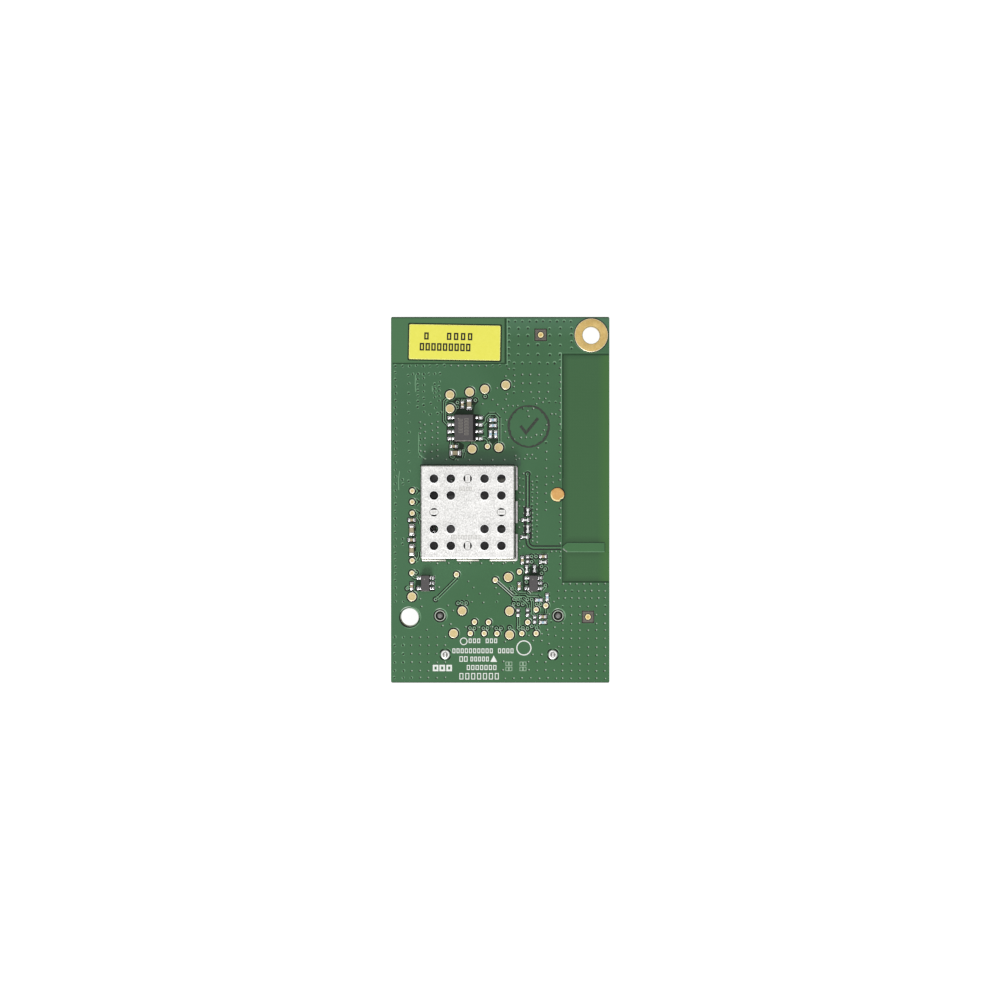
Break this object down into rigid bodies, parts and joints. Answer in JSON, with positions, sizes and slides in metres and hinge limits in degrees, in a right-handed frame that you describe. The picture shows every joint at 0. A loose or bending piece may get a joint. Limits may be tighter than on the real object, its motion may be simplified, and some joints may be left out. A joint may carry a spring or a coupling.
{
  "type": "wifi module",
  "caption": "Small green radio circuit board with a vented metal shield, gold test pads, a plated screw hole, an antenna area and a plug-in connector underneath.",
  "frame": {"origin": "middle of the board in X and Y, at the connector's lowest face in Z", "axes": "+Z out of the shielded side, +Y along the board away from the connector, +X to the right as seen from the shielded side"},
  "size_m": [0.04, 0.067, 0.0088],
  "materials": {
    "board": "glossy green solder mask over glass-fibre laminate",
    "gold_plate": "thin matt gold plating",
    "paint_spot": "orange inspection paint",
    "stamp_ink": "dark grey stamp ink",
    "label": "yellow printed label stock",
    "tin_sheet": "matt tin-plated steel sheet with fine sparkle",
    "solder": "bright reflowed solder",
    "chip_mould": "dark moulded epoxy",
    "crystal_can": "plated metal can",
    "ferrite": "dark grey ferrite",
    "filter_ceramic": "pale fired ceramic",
    "cap_ceramic": "tan fired ceramic",
    "resistor_ceramic": "white alumina with a thin glaze on top",
    "matching_ceramic": "white glass ceramic",
    "connector_plastic": "black moulded nylon",
    "contact_gold": "gold-plated copper alloy"
  },
  "bodies": {
    "root": {"circuit_board": "board", "ground_ring": "gold_plate", "large_test_pads": "gold_plate", "small_test_pads": "gold_plate", "fiducial_dots": "gold_plate", "inspection_spot": "paint_spot", "stamp_ring": "stamp_ink", "yellow_label": "label", "shield_cover": "tin_sheet", "shield_frame": "tin_sheet", "radio_chip": "chip_mould", "crystal": "crystal_can", "supply_coil": "ferrite", "antenna_filter": "filter_ceramic", "inner_cap_bodies": "cap_ceramic", "inner_cap_ends": "solder", "memory_body": "chip_mould", "memory_leads": "solder", "left_regulator_body": "chip_mould", "left_regulator_leads": "solder", "right_regulator_body": "chip_mould", "right_regulator_leads": "solder", "large_cap_bodies": "cap_ceramic", "large_cap_ends": "solder", "small_cap_bodies": "cap_ceramic", "small_cap_ends": "solder", "resistor_bodies": "resistor_ceramic", "resistor_ends": "solder", "matching_bodies": "matching_ceramic", "matching_ends": "solder", "solder_lands": "solder", "connector_housing": "connector_plastic", "connector_contacts": "contact_gold", "contact_lands": "solder", "hold_down_tabs": "tin_sheet", "hold_down_solder": "solder"}
  },
  "joints": []
}
